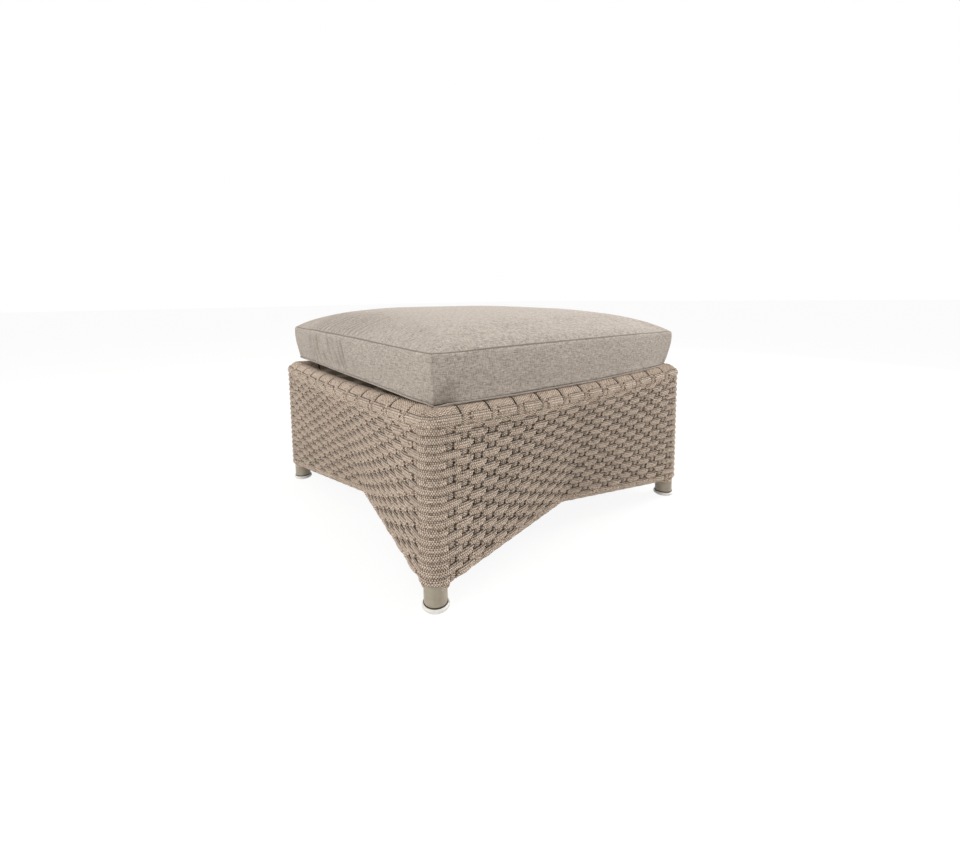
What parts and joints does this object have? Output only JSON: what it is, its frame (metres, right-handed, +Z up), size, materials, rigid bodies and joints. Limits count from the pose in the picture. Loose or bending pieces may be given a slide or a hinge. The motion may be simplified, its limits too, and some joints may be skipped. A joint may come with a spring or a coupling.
{
  "type": "ottoman footstool",
  "caption": "Square outdoor ottoman footstool with a rope-woven skirt pinched in under a tube frame, and a loose crowned box cushion with a zip.",
  "frame": {"origin": "on the floor, under the middle of the square", "axes": "+Z up; the front side faces -Y and +X is to its right"},
  "size_m": [0.6, 0.6, 0.3886],
  "materials": {
    "powder_coat": "satin",
    "rope": "matte",
    "white_plastic": "satin",
    "dark_plastic": "matte",
    "cushion_fabric": "matte",
    "filling": "matte",
    "zip_tape": "matte",
    "zip_metal": "satin"
  },
  "bodies": {
    "frame": {"top_rail_front": "powder_coat", "lower_bar_front": "powder_coat", "rail_wrap_front": "rope", "lower_bar_wrap_front": "rope", "woven_skirt_front": "rope", "top_rail_right": "powder_coat", "lower_bar_right": "powder_coat", "rail_wrap_right": "rope", "lower_bar_wrap_right": "rope", "woven_skirt_right": "rope", "top_rail_back": "powder_coat", "lower_bar_back": "powder_coat", "rail_wrap_back": "rope", "lower_bar_wrap_back": "rope", "woven_skirt_back": "rope", "top_rail_left": "powder_coat", "lower_bar_left": "powder_coat", "rail_wrap_left": "rope", "lower_bar_wrap_left": "rope", "woven_skirt_left": "rope", "corner_elbow_front_left": "powder_coat", "leg_front_left": "powder_coat", "corner_wrap_front_left": "rope", "leg_wrap_front_left": "rope", "glide_plug_front_left": "dark_plastic", "glide_pad_front_left": "white_plastic", "corner_elbow_front_right": "powder_coat", "leg_front_right": "powder_coat", "corner_wrap_front_right": "rope", "leg_wrap_front_right": "rope", "glide_plug_front_right": "dark_plastic", "glide_pad_front_right": "white_plastic", "corner_elbow_back_right": "powder_coat", "leg_back_right": "powder_coat", "corner_wrap_back_right": "rope", "leg_wrap_back_right": "rope", "glide_plug_back_right": "dark_plastic", "glide_pad_back_right": "white_plastic", "corner_elbow_back_left": "powder_coat", "leg_back_left": "powder_coat", "corner_wrap_back_left": "rope", "leg_wrap_back_left": "rope", "glide_plug_back_left": "dark_plastic", "glide_pad_back_left": "white_plastic", "seat_slat_1": "powder_coat", "seat_slat_2": "powder_coat", "seat_slat_3": "powder_coat", "seat_slat_4": "powder_coat", "seat_slat_5": "powder_coat"},
    "cushion": {"cushion_foam": "filling", "cushion_fibre_pad": "filling", "cushion_top_panel": "cushion_fabric", "cushion_side_band": "cushion_fabric", "cushion_bottom_panel": "cushion_fabric", "cushion_bottom_welt": "cushion_fabric", "zip_tape": "zip_tape"},
    "zip_slider": {"zip_slider": "zip_metal"},
    "zip_pull": {"zip_pull": "zip_metal"}
  },
  "joints": [
    {"name": "cushion_lift", "type": "slide", "parent": "frame", "child": "cushion", "axis": [0, 0, 1], "range_m": [0, 0.25]},
    {"name": "zip_travel", "type": "slide", "parent": "cushion", "child": "zip_slider", "axis": [-1, 0, 0], "range_m": [0, 0.4]},
    {"name": "zip_pull_flip", "type": "hinge", "parent": "zip_slider", "child": "zip_pull", "pos_m": [0.203, 0.2938, 0.3061], "axis": [0, 0, -1], "range_deg": [0, 170]}
  ]
}
